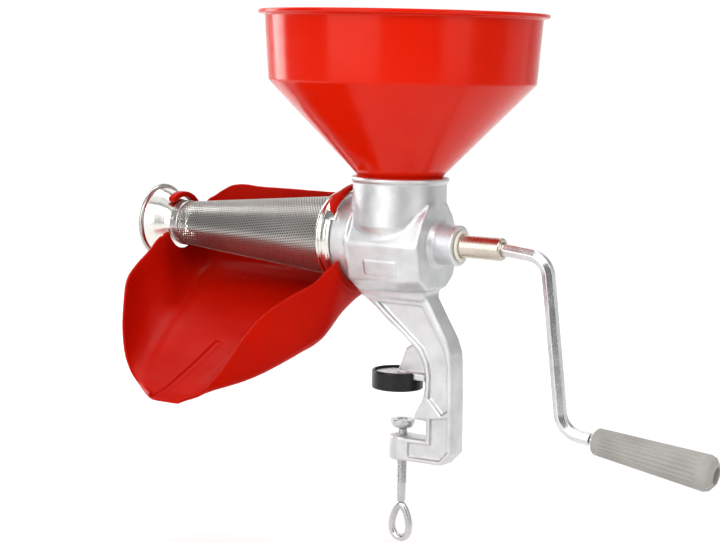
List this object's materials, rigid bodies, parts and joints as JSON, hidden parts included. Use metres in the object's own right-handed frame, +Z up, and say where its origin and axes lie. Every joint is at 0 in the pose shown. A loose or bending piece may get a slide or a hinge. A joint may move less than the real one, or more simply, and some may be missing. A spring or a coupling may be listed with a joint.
{
  "type": "hand-cranked tomato press",
  "caption": "Table-clamped hand-cranked tomato press with a funnel hopper, cast body, perforated conical filter, drip tray and bent crank with a fluted grip.",
  "frame": {"origin": "underside of the rubber clamp pad, where it rests on the table top, straight below the hopper axis", "axes": "+Z up along the hopper, +X along the barrel from filter to crank, -Y towards the juice lip"},
  "size_m": [0.4937, 0.2659, 0.4083],
  "materials": {
    "cast_aluminium": "fine sand-cast grain, lightly tumbled",
    "black_rubber": "glossy moulded",
    "red_hopper": "satin-gloss moulded",
    "red_tray": "satin moulded",
    "white_nylon": "natural nylon",
    "turned_steel": "fine turned",
    "bright_bar": "bright plated drawn bar",
    "grey_grip": "matte moulded with flutes",
    "perforated_steel": "perforated stainless sheet",
    "polished_steel": "polished spun stainless",
    "zinc_steel": "bright zinc plate",
    "spring_steel": "drawn wire"
  },
  "bodies": {
    "press": {"body_casting": "cast_aluminium", "clamp_pad": "black_rubber", "shaft_bush": "white_nylon", "shaft_seal": "black_rubber"},
    "crank": {"drive_sleeve": "turned_steel", "sleeve_cross_pin": "spring_steel", "crank_bar": "bright_bar", "grip_spindle": "zinc_steel", "grip_push_nut": "spring_steel", "auger": "white_nylon", "auger_drive_insert": "turned_steel", "auger_spring": "spring_steel", "thrust_washer": "white_nylon"},
    "grip": {"grip": "grey_grip"},
    "hopper": {"hopper": "red_hopper"},
    "filter": {"filter_cone": "perforated_steel", "filter_flange": "polished_steel", "filter_hook_near": "polished_steel", "filter_hook_far": "polished_steel", "outlet_band": "polished_steel", "outlet_flare": "polished_steel"},
    "tray": {"drip_tray": "red_tray"},
    "cup": {"pressure_cup": "zinc_steel"},
    "screw": {"clamp_screw": "zinc_steel"}
  },
  "joints": [
    {"name": "crank_spin", "type": "hinge", "parent": "press", "child": "crank", "pos_m": [0, 0, 0.114], "axis": [1, 0, 0], "continuous": true},
    {"name": "grip_spin", "type": "hinge", "parent": "crank", "child": "grip", "pos_m": [0.1687, 0, -0.0192], "axis": [0.9914, 0, -0.1308], "continuous": true},
    {"name": "hopper_lift", "type": "slide", "parent": "press", "child": "hopper", "axis": [0, 0, 1], "range_m": [0, 0.1]},
    {"name": "filter_twist", "type": "hinge", "parent": "press", "child": "filter", "pos_m": [0, 0, 0.114], "axis": [1, 0, 0], "range_deg": [0, 30]},
    {"name": "tray_swing", "type": "hinge", "parent": "press", "child": "tray", "pos_m": [0, 0, 0.114], "axis": [1, 0, 0], "range_deg": [0, 30]},
    {"name": "cup_rise", "type": "slide", "parent": "press", "child": "cup", "axis": [0, 0, 1], "range_m": [-0.0052, 0.0205]},
    {"name": "screw_turn", "type": "hinge", "parent": "cup", "child": "screw", "pos_m": [0.0077, 0, 0], "axis": [0, 0, 1], "range_deg": [-1500, 5910]}
  ],
  "couplings": [
    {"joint": "screw_turn", "follows": "cup_rise", "rad_per_m": 5026.5}
  ]
}
